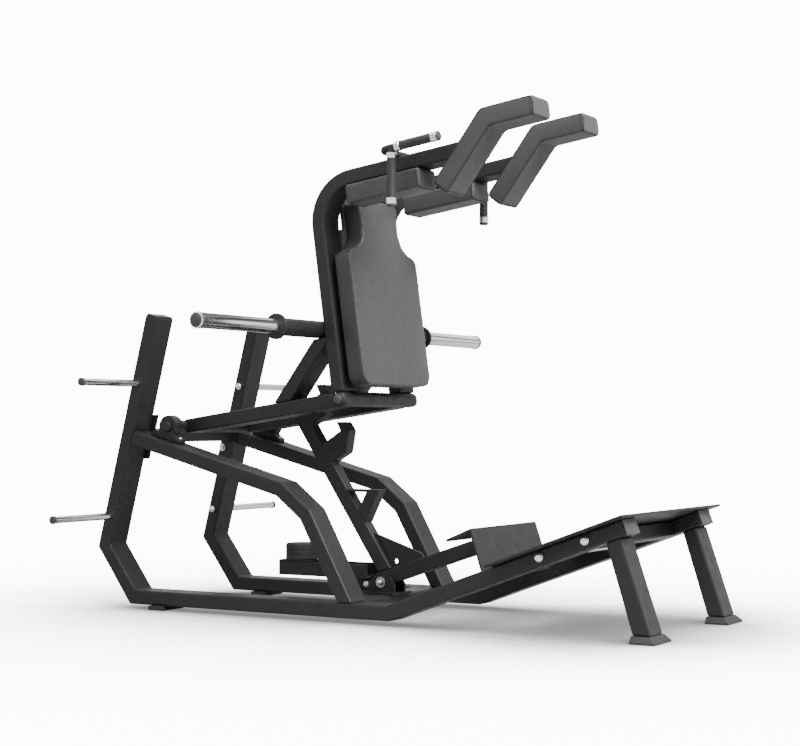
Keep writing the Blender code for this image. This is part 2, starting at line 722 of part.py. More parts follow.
def swept(name, stations, look, home, count=16):
    """A round bar through (point, radius) stations, capped at both ends."""
    verts = []
    points = [Vector(p) for p, _ in stations]
    side_way = None
    for i, (point, radius) in enumerate(stations):
        ahead = points[min(i + 1, len(points) - 1)] - points[max(i - 1, 0)]
        if ahead.length < 1e-9:
            ahead = points[i] - points[i - 1]
        ahead.normalize()
        if side_way is None:
            rough = Vector((1.0, 0.0, 0.0)) if abs(ahead.z) > 0.9 else Vector((0.0, 0.0, 1.0))
            side_way = ahead.cross(rough).normalized()
        side_way = (side_way - ahead * side_way.dot(ahead)).normalized()
        up = ahead.cross(side_way)
        for k in range(count):
            a = 2.0 * pi * k / count
            verts.append(Vector(point) + side_way * radius * cos(a) + up * radius * sin(a))
    faces = [tuple(range(count - 1, -1, -1))]
    for i in range(len(stations) - 1):
        for k in range(count):
            j = (k + 1) % count
            faces.append((i * count + k, i * count + j, (i + 1) * count + j, (i + 1) * count + k))
    faces.append(tuple(range((len(stations) - 1) * count, len(stations) * count)))
    return make(name, verts, faces, look, home, smooth=True)


def handle_path(sign):
    """Out along the boom's top, round the elbow and forward through the grip."""
    v = BOOM_V + HANDLE_R + GAP
    r, y = HANDLE_R, HANDLE_Y
    spots = [(HANDLE_U, 0.150, r), (HANDLE_U, y - HANDLE_BEND, r)]
    for k in range(1, 7):
        a = radians(15.0 * k)
        spots.append((HANDLE_U + HANDLE_BEND * (1.0 - cos(a)), y - HANDLE_BEND * (1.0 - sin(a)), r))
    g0, g1 = TOP_GRIP_U
    ends = [(g0 - 0.020, r), (g0 - 0.0198, RING_R), (g0 - GAP - 0.0002, RING_R), (g0 - GAP, r),
            (g1 + GAP, r), (g1 + GAP + 0.0002, RING_R), (g1 + 0.028, RING_R), (g1 + 0.032, RING_R - 0.003)]
    spots += [(u, y, radius) for u, radius in ends]
    path = []
    for u, side_y, radius in spots:
        x, z = arm(u, v)
        path.append(((x, sign * side_y, z), radius))
    return path


def drop_stations(sign):
    x, y = DROP_X, sign * HANDLE_Y
    g0, g1 = DROP_GRIP_Z
    r = HANDLE_R
    top = arm(HANDLE_U + 0.039, BOOM_V + HANDLE_R)[1]
    rows = [(top, r), (g1 + 0.0210, r), (g1 + 0.0208, RING_R), (g1 + GAP + 0.0002, RING_R),
            (g1 + GAP, r), (g0 - GAP, r), (g0 - GAP - 0.0002, RING_R), (DROP_END_Z + 0.003, RING_R),
            (DROP_END_Z, RING_R - 0.003)]
    return [((x, y, z), radius) for z, radius in rows]


def sleeve_mesh(name, a, b, home):
    """Open-ended hollow grip between two points."""
    a, b = Vector(a), Vector(b)
    axis = (b - a).normalized()
    side_way = axis.cross(Vector((0.0, 1.0, 0.0))).normalized()
    up = axis.cross(side_way)
    inner, outer, count = HANDLE_R + GAP, GRIP_R, 20
    rows = [(a, inner), (a, outer), (b, outer), (b, inner)]
    verts = []
    for base, radius in rows:
        for k in range(count):
            t = 2.0 * pi * k / count
            verts.append(base + side_way * radius * cos(t) + up * radius * sin(t))
    faces = []
    for i in range(4):
        for k in range(count):
            j = (k + 1) % count
            m = (i + 1) % 4
            faces.append((i * count + k, i * count + j, m * count + j, m * count + k))
    make(name, verts, faces, "rubber", home, smooth=True)


def handles():
    v = BOOM_V + HANDLE_R + GAP
    for side, sign in sides():
        item = swept("handle_" + side, handle_path(sign), "satin", PIVOT)
        drop = swept("join_drop_" + side, drop_stations(sign), None, PIVOT)
        boolean(item, drop, "UNION")
        y = sign * HANDLE_Y
        ends = [arm(u, v) for u in TOP_GRIP_U]
        a, b = [(x, y, z) for x, z in ends]
        sleeve_mesh("top_grip_" + side, a, b, PIVOT)
        low, high = DROP_GRIP_Z
        sleeve_mesh("drop_grip_" + side, (DROP_X, y, low), (DROP_X, y, high), PIVOT)


# ---------------------------------------------------------------- catch lever

def hook(base):
    """Front-side points of one hook, from its mouth floor down to its root."""
    return [(0.140, base - 0.002), (0.1434, base + 0.034), (0.172, base + 0.015),
            (0.1717, base - 0.023), (0.118, base - 0.080), (0.050, base - 0.076)]


def catch_lever():
    low = PEDAL_ARM_M[1] + GAP
    bed = (pedal(0.0, low), pedal(1.0, low))
    rear_foot = cross(lever(0.0, 0.0), lever(0.0, 1.0), *bed)
    front_foot = cross(lever(0.050, 0.0), lever(0.050, 1.0), *bed)
    points = [(0.0, LEVER_TOP)] + hook(LEVER_TOP)
    points += [(0.050, LEVER_TOP - HOOK_PITCH)] + hook(LEVER_TOP - HOOK_PITCH)
    outline = [rear_foot] + [lever(n, w) for n, w in points] + [front_foot]
    h = LEVER_HALF
    side_prism("catch_lever", outline, -h, h, "paint", CATCH, 0.003)


def rest_bracket():
    """Low rest on the lever's front face, where the arm can be set down."""
    cx, cz = CATCH
    face = (lever(0.050 + GAP, 0.0), lever(0.050 + GAP, 1.0))
    top = ((cx - 1.0, cz + 0.319), (cx, cz + 0.319))
    shelf = ((cx - 1.0, cz + 0.310), (cx, cz + 0.310))
    outline = [cross(*face, *top), (cx - 0.017, cz + 0.319), lever(0.050 + GAP, 0.211),
               lever(0.050 + GAP, 0.262), (cx - 0.070, cz + 0.310), cross(*face, *shelf)]
    side_prism("rest_bracket", outline, -LEVER_HALF, LEVER_HALF, "paint", CATCH, 0.001)


def pedal_arm():
    """Tube from the pivot to the inner face of the pedal plate's front leaf."""
    p0 = PEDAL_ARM_P
    m0, m1 = PEDAL_ARM_M
    leaf = offset_line(PEDAL_PATH[1], PEDAL_PATH[2], -PEDAL_T - GAP)
    low = cross(pedal(p0, m0), pedal(1.0, m0), *leaf)
    high = cross(pedal(p0, m1), pedal(1.0, m1), *leaf)
    h = LEVER_HALF
    outline = [pedal(p0, m0), low, high, pedal(p0, m1)]
    item = side_prism("pedal_arm", outline, -h, h, "paint", CATCH, 0.004)
    bore(item, "cut_pedal_arm", CATCH, BORE_R, -0.05, 0.05, CATCH)


def gusset():
    m = PEDAL_ARM_M[1] + GAP
    face = (lever(0.050 + GAP, 0.0), lever(0.050 + GAP, 1.0))
    corner = cross(*face, pedal(0.0, m), pedal(1.0, m))
    outline = [corner, pedal(0.172, m), pedal(0.166, m + 0.018), lever(0.050 + GAP, 0.168)]
    item = side_prism("catch_gusset", outline, -0.005, 0.005, "paint", CATCH, 0.0)
    bore(item, "cut_gusset", (CATCH[0] + 0.040, CATCH[1] + 0.072), 0.009, -0.02, 0.02, CATCH)


def pedal_plate():
    outline = mitred(PEDAL_PATH, -PEDAL_T)
    side_prism("pedal_plate", outline, -PEDAL_HALF, PEDAL_HALF, "paint", CATCH, 0.001)


def build():
    clear_scene()
    side_frames()
    upright_caps()
    side_arches()
    rear_crosstube()
    base_crosstube()
    front_beam()
    platform()
    legs()
    feet()
    ramp_caps()
    pegs()
    tie_rods()
    pillow_blocks()
    catch_bracket()
    pivot_bolt()
    stop_beam()
    bumper()
    arm_axle()
    arm_rails()
    arm_front_crosstube()
    spines()
    braces()
    weight_horn()
    catch_bar()
    back_pad()
    back_board()
    rear_pads()
    front_pads()
    handles()
    catch_lever()
    rest_bracket()
    pedal_arm()
    gusset()
    pedal_plate()


build()
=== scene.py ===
"""Plate-loaded lever squat machine: looks, soft pads, camera and studio light."""
import json
from math import atan2, cos, pi, radians, sin

import bpy
import bmesh
from mathutils import Matrix, Vector
from mathutils.bvhtree import BVHTree
from mathutils.kdtree import KDTree
from mathutils.noise import noise


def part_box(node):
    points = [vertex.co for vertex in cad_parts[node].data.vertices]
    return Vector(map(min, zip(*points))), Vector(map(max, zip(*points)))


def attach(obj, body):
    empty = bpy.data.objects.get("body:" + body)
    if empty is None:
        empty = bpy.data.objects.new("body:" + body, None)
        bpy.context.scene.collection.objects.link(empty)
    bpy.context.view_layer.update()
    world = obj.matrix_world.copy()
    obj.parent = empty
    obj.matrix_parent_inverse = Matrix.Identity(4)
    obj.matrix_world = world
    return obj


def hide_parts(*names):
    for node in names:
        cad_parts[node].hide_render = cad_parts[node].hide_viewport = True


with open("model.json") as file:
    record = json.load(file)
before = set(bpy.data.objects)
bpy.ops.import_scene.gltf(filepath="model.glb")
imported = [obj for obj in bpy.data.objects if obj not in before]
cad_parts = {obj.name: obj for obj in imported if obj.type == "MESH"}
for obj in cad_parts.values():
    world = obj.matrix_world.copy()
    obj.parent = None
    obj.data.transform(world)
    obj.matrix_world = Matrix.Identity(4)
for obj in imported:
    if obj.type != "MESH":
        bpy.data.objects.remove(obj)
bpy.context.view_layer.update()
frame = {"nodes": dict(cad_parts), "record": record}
NODES = frame["nodes"]

SIDES = (("right", -1.0), ("left", 1.0))
JOINTS = {j["name"]: Vector(j["pos_m"]) for j in frame["record"]["behaviour"]["joints"]}
PIVOT = JOINTS["arm_pivot"]
CATCH = JOINTS["catch_pivot"]

# The arm's own directions: u along it, v square to it, both tilted at rest.
ARM_TILT = radians(8.0)
U_WAY = Vector((cos(ARM_TILT), 0.0, sin(ARM_TILT)))
V_WAY = Vector((-sin(ARM_TILT), 0.0, cos(ARM_TILT)))
Y_WAY = Vector((0.0, 1.0, 0.0))


# ------------------------------------------------------------------ materials

class Look:
    """A small helper around one material's node tree."""

    def __init__(self, name):
        self.mat = bpy.data.materials.new(name)
        self.mat.use_nodes = True
        self.tree = self.mat.node_tree
        self.shader = self.tree.nodes["Principled BSDF"]
        self.coords = self.add("ShaderNodeTexCoord")

    def add(self, kind, **settings):
        """A new node with these settings."""
        node = self.tree.nodes.new(kind)
        for key, value in settings.items():
            setattr(node, key, value)
        return node

    def wire(self, source, target):
        self.tree.links.new(source, target)

    def set(self, **values):
        """Fixed values of the main shader, with _ for a space."""
        for key, value in values.items():
            self.shader.inputs[key.replace("_", " ")].default_value = value

    def noise(self, scale, detail=2.0, rough=0.5, stretch=None):
        node = self.add("ShaderNodeTexNoise")
        node.inputs["Scale"].default_value = scale
        node.inputs["Detail"].default_value = detail
        node.inputs["Roughness"].default_value = rough
        self.wire(self.place(stretch), node.inputs["Vector"])
        return node.outputs["Fac"]

    def cells(self, scale, feature="F1"):
        node = self.add("ShaderNodeTexVoronoi", feature=feature)
        node.inputs["Scale"].default_value = scale
        self.wire(self.coords.outputs["Object"], node.inputs["Vector"])
        return node.outputs["Distance"]

    def place(self, stretch):
        """The piece's own coordinates, stretched if asked."""
        if stretch is None:
            return self.coords.outputs["Object"]
        node = self.add("ShaderNodeMapping")
        node.inputs["Scale"].default_value = stretch
        self.wire(self.coords.outputs["Object"], node.inputs["Vector"])
        return node.outputs["Vector"]

    def ramp(self, factor, stops):
        """Colours at (position, colour) stops."""
        node = self.add("ShaderNodeValToRGB")
        points = node.color_ramp.elements
        while len(points) < len(stops):
            points.new(0.5)
        for point, (position, colour) in zip(points, stops):
            point.position = position
            point.color = (*colour, 1.0)
        self.wire(factor, node.inputs["Fac"])
        return node.outputs["Color"]

    def span(self, factor, low, high, start=0.3, end=0.7):
        """Values from low to high while the factor goes from start to end, as most noise does."""
        node = self.add("ShaderNodeMapRange")
        node.inputs["From Min"].default_value = start
        node.inputs["From Max"].default_value = end
        node.inputs["To Min"].default_value = low
        node.inputs["To Max"].default_value = high
        self.wire(factor, node.inputs["Value"])
        return node.outputs["Result"]

    def blend(self, factor, one, two):
        """Mix two colours, whose sockets on the node share their names with others."""
        node = self.add("ShaderNodeMix", data_type="RGBA")
        self.wire(factor, node.inputs["Factor"])
        self.wire(one, node.inputs[6])
        self.wire(two, node.inputs[7])
        return node.outputs[2]

    def bump(self, heights):
        """Stack bumps given as (height output, strength, depth in metres)."""
        last = None
        for height, strength, depth in heights:
            node = self.add("ShaderNodeBump")
            node.inputs["Strength"].default_value = strength
            node.inputs["Distance"].default_value = depth
            self.wire(height, node.inputs["Height"])
            if last is not None:
                self.wire(last, node.inputs["Normal"])
            last = node.outputs["Normal"]
        self.wire(last, self.shader.inputs["Normal"])

    def colour(self, output):
        self.wire(output, self.shader.inputs["Base Color"])

    def roughness(self, output):
        self.wire(output, self.shader.inputs["Roughness"])


def times(base, factor):
    """A colour made darker or lighter."""
    return tuple(c * factor for c in base)


def powder_coat(name, base, lift=1.0):
    """Satin powder coat: fine orange peel and faint cloudiness."""
    look = Look(name)
    dark = times(base, 0.82)
    light = times(times(base, 1.22), lift)
    look.colour(look.ramp(look.noise(6.0, 5.0, 0.6), [(0.32, dark), (0.68, light)]))
    look.roughness(look.span(look.noise(22.0, 4.0, 0.65), 0.40, 0.56))
    peel = look.cells(520.0, "SMOOTH_F1")
    grain = look.noise(1400.0, 2.0)
    look.bump([(peel, 0.30, 0.0004), (grain, 0.25, 0.00025)])
    look.set(IOR=1.35)
    return look.mat


def leatherette(name, base):
    """Padded cover: pebbled grain with painted shade in its valleys, soft creases and a slight polish."""
    look = Look(name)
    pebbles = look.cells(560.0)
    valleys = look.cells(560.0, "DISTANCE_TO_EDGE")
    cloud = look.noise(9.0, 5.0, 0.6)
    tone = look.ramp(cloud, [(0.30, times(base, 0.95)), (0.70, times(base, 1.05))])
    # Painted shade: the cover darkens to under half its colour in the valleys where the pebbles meet.
    valley_shade = look.ramp(valleys, [(0.0, times(base, 0.45)), (0.10, base)])
    valley_shade_mask = look.span(valleys, 0.0, 1.0, 0.0, 0.12)
    look.colour(look.blend(valley_shade_mask, valley_shade, tone))
    look.roughness(look.span(look.noise(35.0, 4.0, 0.6), 0.40, 0.56))
    creases = look.noise(60.0, 3.0, 0.7)
    look.bump([(creases, 0.06, 0.002), (pebbles, 0.30, 0.0005), (valleys, 0.25, 0.0004)])
    look.set(Sheen_Weight=0.10, Sheen_Roughness=0.5, IOR=1.46)
    return look.mat


def polished(name, base, rough, stretch):
    """Bright metal with fine turning marks around its length."""
    look = Look(name)
    marks = look.noise(40.0, 3.0, 0.6, stretch)
    cloud = look.noise(14.0, 4.0, 0.6)
    look.colour(look.ramp(cloud, [(0.25, times(base, 0.90)), (0.75, base)]))
    look.roughness(look.span(cloud, rough * 0.8, rough * 1.5))
    look.bump([(marks, 0.008, 0.0002)])
    look.set(Metallic=1.0)
    return look.mat


def rubber(name, base, scale=300.0, rough=0.72):
    """Moulded rubber: dull, finely pitted, a little greyer where it wears."""
    look = Look(name)
    cloud = look.noise(18.0, 5.0, 0.65)
    look.colour(look.ramp(cloud, [(0.30, base), (0.72, times(base, 1.5))]))
    look.roughness(look.span(cloud, rough - 0.08, rough + 0.08))
    look.bump([(look.cells(scale), 0.25, 0.0005), (look.noise(scale * 3.0), 0.2, 0.0003)])
    return look.mat


def grip_rubber(name, base):
    """Foam grip: fine pores and shallow lumps."""
    look = Look(name)
    cloud = look.noise(30.0, 4.0, 0.6)
    look.colour(look.ramp(cloud, [(0.30, base), (0.70, times(base, 1.35))]))
    look.roughness(look.span(cloud, 0.55, 0.70))
    look.bump([(look.cells(420.0), 0.35, 0.0006), (look.noise(150.0, 3.0), 0.25, 0.0006)])
    return look.mat


PAINT = powder_coat("powder_coat_frame", (0.0125, 0.0134, 0.0150))
ARM_PAINT = powder_coat("powder_coat_arm", (0.0125, 0.0134, 0.0150))
PLATE_PAINT = powder_coat("powder_coat_plate", (0.016, 0.0167, 0.018), 1.1)
COVER = leatherette("pad_leatherette", (0.036, 0.036, 0.037))
# A darker copy of the cover: painted shade for the back pad's side walls and rear.
SHADED_SIDE_COVER = leatherette("pad_leatherette_painted_shade", (0.0165, 0.0165, 0.017))
CHROME = polished("chrome_plate", (0.86, 0.865, 0.88), 0.13, (1.0, 30.0, 1.0))
STEEL = polished("bright_zinc", (0.66, 0.67, 0.69), 0.30, (1.0, 1.0, 1.0))
DARK_STEEL = polished("dull_zinc", (0.36, 0.36, 0.37), 0.38, (1.0, 1.0, 1.0))
SILVER = powder_coat("cap_paint_light", (0.050, 0.050, 0.052))
RUBBER = rubber("moulded_rubber", (0.0105, 0.0105, 0.0110))
CAP_RUBBER = rubber("cap_rubber", (0.030, 0.030, 0.031), 500.0, 0.55)
GRIP = grip_rubber("grip_foam", (0.0085, 0.0088, 0.0100))
BOARD = rubber("board_vinyl", (0.018, 0.018, 0.019), 240.0, 0.6)
THREAD = rubber("seam_piping", (0.0050, 0.0050, 0.0052), 900.0, 0.7)


def paint_nodes():
    """Give every CAD node its finish."""
    rules = (
        (("storage_peg", "weight_sleeve"), CHROME),
        (("tie_rod",), STEEL),
        (("pivot_bolt",), DARK_STEEL),
        (("ramp_cap",), SILVER),
        (("boot", "rear_foot", "rubber_bumper"), RUBBER),
        (("upright_cap",), CAP_RUBBER),
        (("top_grip", "drop_grip"), GRIP),
        (("back_board",), BOARD),
        (("platform_plate", "pedal_plate"), PLATE_PAINT),
        (("arm_", "spine", "brace", "weight_horn", "catch_bar", "handle"), ARM_PAINT),
    )
    for name, item in NODES.items():
        chosen = PAINT
        for starts, mat in rules:
            if name.startswith(starts):
                chosen = mat
                break
        item.data.materials.clear()
        item.data.materials.append(chosen)


# ---------------------------------------------------------------------- tools

def linked(name, data):
    """A new object that holds this data, put in the scene."""
    item = bpy.data.objects.new(name, data)
    bpy.context.scene.collection.objects.link(item)
    return item


def finish_piece(item, mat, body, sharp=35.0):
    """Finish and body; edges above sharp degrees stay crisp, 0.0 rounds them all."""
    item.data.materials.clear()
    item.data.materials.append(mat)
    for face in item.data.polygons:
        face.use_smooth = True
    if sharp:
        item.data.set_sharp_from_angle(angle=radians(sharp))
    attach(item, body)
    return item


def new_item(name, verts, faces):
    """A new object from points and faces, with its faces turned outwards."""
    mesh = bpy.data.meshes.new(name)
    mesh.from_pydata([Vector(v) for v in verts], [], faces)
    bm = bmesh.new()
    bm.from_mesh(mesh)
    bmesh.ops.recalc_face_normals(bm, faces=bm.faces)
    bm.to_mesh(mesh)
    bm.free()
    return linked(name, mesh)


def circle(centre, aside, up, radius, sides):
    """Points round a circle that lies in the plane of two directions."""
    out = []
    for k in range(sides):
        a = 2.0 * pi * k / sides
        out.append(centre + (aside * cos(a) + up * sin(a)) * radius)
    return out


def skin(rings, sides, closed=False):
    """Faces between rings of points: a closed loop, or a row with flat ends."""
    faces = []
    for i in range(rings if closed else rings - 1):
        n = (i + 1) % rings
        for k in range(sides):
            j = (k + 1) % sides
            faces.append((i * sides + k, i * sides + j, n * sides + j, n * sides + k))
    if not closed:
        faces.append(tuple(range(sides)))
        faces.append(tuple(range((rings - 1) * sides, rings * sides)))
    return faces


def turned(name, centre, axis, profile, sides=40):
    """A solid of (distance, radius) steps turned about an axis."""
    axis = Vector(axis).normalized()
    aside = axis.orthogonal().normalized()
    up = axis.cross(aside)
    verts = []
    for along, radius in profile:
        verts += circle(Vector(centre) + axis * along, aside, up, radius, sides)
    return new_item(name, verts, skin(len(profile), sides))


def tube_along(name, points, radius, closed, sides):
    """A round tube through points."""
    total = len(points)
    verts = []
    aside = None
    for i, point in enumerate(points):
        before = points[i - 1] if i or closed else point
        after = points[(i + 1) % total] if closed or i + 1 < total else point
        ahead = (Vector(after) - Vector(before)).normalized()
        if aside is None:
            aside = ahead.orthogonal().normalized()
        aside = (aside - ahead * aside.dot(ahead)).normalized()
        verts += circle(Vector(point), aside, ahead.cross(aside), radius, sides)
    return new_item(name, verts, skin(total, sides, closed))


def middle(node):
    """Middle of a CAD node's box."""
    low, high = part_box(node)
    return Vector([(a + b) / 2.0 for a, b in zip(low, high)])


def arm_point(u, v, y=0.0):
    """Place in the scene of a point in the arm's own directions."""
    return PIVOT + U_WAY * u + V_WAY * v + Y_WAY * y


def to_arm(point):
    """The arm's own (u, v, y) of a place in the scene."""
    away = Vector(point) - PIVOT
    return away.dot(U_WAY), away.dot(V_WAY), point[1]


def arc(centre, radius, start, end, steps):
    """Points of an arc between two angles in degrees."""
    points = []
    for k in range(steps + 1):
        a = radians(start + (end - start) * k / steps)
        points.append((centre[0] + radius * cos(a), centre[1] + radius * sin(a)))
    return points


# ----------------------------------------------------------------------- pads

CLOTH_FRAMES = 20
CLOTH_MASS = 0.4
CLOTH_STRETCH = 25.0
CLOTH_SHEAR = 12.0
CLOTH_BENDING = 1.0
CLOTH_PRESSURE = 4.0
WELD = 0.00001
SEAM_HOLD = 0.007
SEAM_STEP = 0.004
CORD_STEP = 0.006
CORD_LIFT = 0.0003
LUMP_SCALE = 9.0
LUMP_DEPTH = 0.0004
SIN_45 = 0.7071
TAN_22 = 0.4142


def apply_all(item):
    """Bake an object's modifiers into its mesh."""
    graph = bpy.context.evaluated_depsgraph_get()
    graph.update()
    mesh = bpy.data.meshes.new_from_object(item.evaluated_get(graph))
    old = item.data
    item.modifiers.clear()
    item.data = mesh
    bpy.data.meshes.remove(old)


def push_out(item, amount):
    """Move every point along its normal, as far as amount(point) says."""
    bm = bmesh.new()
    bm.from_mesh(item.data)
    bm.normal_update()
    for vert in bm.verts:
        vert.co += vert.normal * amount(vert.co)
    bm.to_mesh(item.data)
    bm.free()


def pad_blank(name, node, shrink, voxel):
    """Evenly meshed copy of a pad's CAD solid, a little smaller."""
    item = linked(name, NODES[node].data.copy())
    item.matrix_world = NODES[node].matrix_world.copy()
    bm = bmesh.new()
    bm.from_mesh(item.data)
    bmesh.ops.remove_doubles(bm, verts=bm.verts, dist=WELD)
    bm.to_mesh(item.data)
    bm.free()
    mod = item.modifiers.new("even", "REMESH")
    mod.mode = "VOXEL"
    mod.voxel_size = voxel
    apply_all(item)
    bm = bmesh.new()
    bm.from_mesh(item.data)
    for _ in range(2):
        bmesh.ops.smooth_vert(bm, verts=bm.verts, factor=0.5, use_axis_x=True, use_axis_y=True,
                              use_axis_z=True)
    bm.to_mesh(item.data)
    bm.free()
    push_out(item, lambda co: -shrink)
    return item


def inflate(item, held, cap):
    """Swell a blank like stuffed cloth; held says which points stay put."""
    start = [v.co.copy() for v in item.data.vertices]
    pinned = [v.index for v in item.data.vertices if held(v.co)]
    group = item.vertex_groups.new(name="held")
    group.add(pinned, 1.0, "REPLACE")
    cloth = item.modifiers.new("cloth", "CLOTH")
    cloth.settings.quality = 5
    cloth.settings.mass = CLOTH_MASS
    cloth.settings.tension_stiffness = CLOTH_STRETCH
    cloth.settings.compression_stiffness = CLOTH_STRETCH
    cloth.settings.shear_stiffness = CLOTH_SHEAR
    cloth.settings.bending_stiffness = CLOTH_BENDING
    cloth.settings.use_pressure = True
    cloth.settings.uniform_pressure_force = CLOTH_PRESSURE
    cloth.settings.effector_weights.gravity = 0.0
    cloth.settings.vertex_group_mass = "held"
    cloth.point_cache.frame_start = 1
    cloth.point_cache.frame_end = CLOTH_FRAMES
    scene = bpy.context.scene
    for step in range(1, CLOTH_FRAMES + 1):
        scene.frame_set(step)
    apply_all(item)
    for vert, was in zip(item.data.vertices, start):
        moved = vert.co - was
        if moved.length > cap:
            vert.co = was + moved * (cap / moved.length)
    scene.frame_set(1)


def smooth_pad(item):
    """Finer faces for a pad."""
    mod = item.modifiers.new("fine", "SUBSURF")
    mod.levels = 1
    mod.render_levels = 1
    apply_all(item)


def even(points, step):
    """Points spaced evenly round a closed path."""
    loop = list(points) + [points[0]]
    out = []
    carry = 0.0
    for a, b in zip(loop, loop[1:]):
        a, b = Vector(a), Vector(b)
        size = (b - a).length
        at = carry
        while at < size:
            out.append(a.lerp(b, at / size))
            at += step
        carry = at - size
    return out


def relax(points, rounds):
    """Round off a closed path: each point moves towards its neighbours."""
    for _ in range(rounds):
        behind = points[-1:] + points[:-1]
        ahead = points[1:] + points[:1]
        points = [(a + b * 2.0 + c) / 4.0 for a, b, c in zip(behind, points, ahead)]
    return points


def seam_tree(paths):
    """Lookup of how far a point is from the sewn seams."""
    spots = [point for path in paths for point in even(path, SEAM_STEP)]
    tree = KDTree(len(spots))
    for k, spot in enumerate(spots):
        tree.insert(spot, k)
    tree.balance()
    return tree


def pad(name, node, backing, seams, shrink, cap, voxel):
    """A stuffed cover: its seams and its backing stay put, its faces swell up to cap."""
    tree = seam_tree(seams)

    def held(co):
        return backing(co) or tree.find(co)[2] < SEAM_HOLD

    def lumps(co):
        return 0.0 if held(co) else noise(co * LUMP_SCALE) * LUMP_DEPTH

    item = pad_blank(name, node, shrink, voxel)
    inflate(item, held, cap)
    push_out(item, lumps)
    smooth_pad(item)
    return item


def mirrored(item, name):
    """The same pad on the other side of the middle plane."""
    mesh = item.data.copy()
    mesh.transform(Matrix.Scale(-1.0, 4, Y_WAY))
    mesh.flip_normals()
    return linked(name, mesh)


def on_surface(item, points, lift=0.0):
    """Points moved to the nearest spot on a pad's surface, or just above it."""
    tree = BVHTree.FromObject(item, bpy.context.evaluated_depsgraph_get())
    out = []
    for point in points:
        spot, normal, _, _ = tree.find_nearest(Vector(point))
        out.append(spot + normal * lift)
    return out


def piping(name, item, path, radius):
    """Sewn cord that lies on a pad along a closed path."""
    points = relax(even(path, CORD_STEP), 3)
    points = relax(on_surface(item, points), 6)
    points = relax(on_surface(item, points, CORD_LIFT), 1)
    cord = tube_along(name, points, radius, True, 8)
    finish_piece(cord, THREAD, "arm", 0.0)


def back_outline(inset):
    """Front view of the back pad as (y, v), moved inwards by an inset."""
    body, neck, low, high = 0.225 - inset, 0.120 - inset, 0.036 + inset, 0.690 - inset
    corner = 0.040 - inset
    shoulder, shoulder_v = 0.045, 0.466
    hollow, hollow_v = 0.085, 0.590
    crown, neck_v = 0.030, 0.640
    half = [(0.0, low)] + arc((body - corner, low + corner), corner, -90.0, 0.0, 6)
    half += arc((body - shoulder, shoulder_v), shoulder, 0.0, 62.0, 5)
    half += arc((neck + hollow + inset, hollow_v), hollow + inset, -110.0, -180.0, 7)
    half += [(neck + 0.004, neck_v)]
    half += arc((neck - 0.020, high - crown), crown, 0.0, 90.0, 5)
    return half + [(-y, v) for y, v in half[:0:-1]]


def back_pad():
    """Upholstered back: crowned front, side walls and rear in a darker copy of the cover as painted shade,
    and piping round the rear edge.
    """
    board_u, rear_u, shaded_side_u, front_u = 0.7160, 0.7150, 0.7728, 0.7752

    def backing(co):
        return to_arm(co)[0] < board_u

    front = [arm_point(front_u, v, y) for y, v in back_outline(0.0016)]
    rear = [arm_point(rear_u, v, y) for y, v in back_outline(0.0012)]
    item = pad("back_pad_cushion", "back_pad", backing, (front, rear), 0.0004, 0.0065, 0.0055)
    finish_piece(item, COVER, "arm", 0.0)
    # Painted shade: every face behind the front gets the darker copy of the cover.
    item.data.materials.append(SHADED_SIDE_COVER)
    for face in item.data.polygons:
        face.material_index = 0 if to_arm(face.center)[0] > shaded_side_u else 1
    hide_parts("back_pad")
    piping("back_pad_piping_rear", item, rear, 0.0018)


def side_seams(corners, ys, sign):
    """Seams round both side faces of a pad, given its side-view corners."""
    return [[arm_point(u, v, sign * y) for u, v in corners] for y in ys]


def band(top, low, y_out, y_in, sign):
    """Seam straight round a pad, through a top and a low point of its side view."""
    return [arm_point(*top, sign * y_out), arm_point(*low, sign * y_out),
            arm_point(*low, sign * y_in), arm_point(*top, sign * y_in)]


def shoulder_pads(which, backing, seams, cords):
    """Make the right-hand pad, copy it to the left and lay cords on both."""
    stem, node = which + "_shoulder_cushion", which + "_shoulder_pad"
    item = pad(stem + "_right", node + "_right", backing, seams, 0.0003, 0.0045, 0.0042)
    twin = mirrored(item, stem + "_left")
    for side, sign, piece in (("right", -1.0, item), ("left", 1.0, twin)):
        finish_piece(piece, COVER, "arm", 0.0)
        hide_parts(node + "_" + side)
        for k, path in enumerate(cords(sign)):
            piping("%s_%s_piping_%d" % (stem, side, k), piece, path, 0.0019)


def rear_pads():
    """Boxed pads at the rear of the arm, held along their upper side."""
    u_rear, u_front, v_low, v_high = 0.8008, 1.0922, 0.6508, 0.7157
    held_v = 0.7125
    corners = [(u_rear, v_low), (u_front, v_low), (u_front, v_high), (u_rear, v_high)]

    def backing(co):
        return to_arm(co)[1] > held_v

    def cords(sign):
        return [band((u, 0.6512), (u, 0.7150), 0.131, 0.245, sign) for u in (1.0835, 0.8095)]

    seams = side_seams(corners, (0.1308, 0.2452), -1.0) + cords(-1.0)
    shoulder_pads("rear", backing, seams, cords)


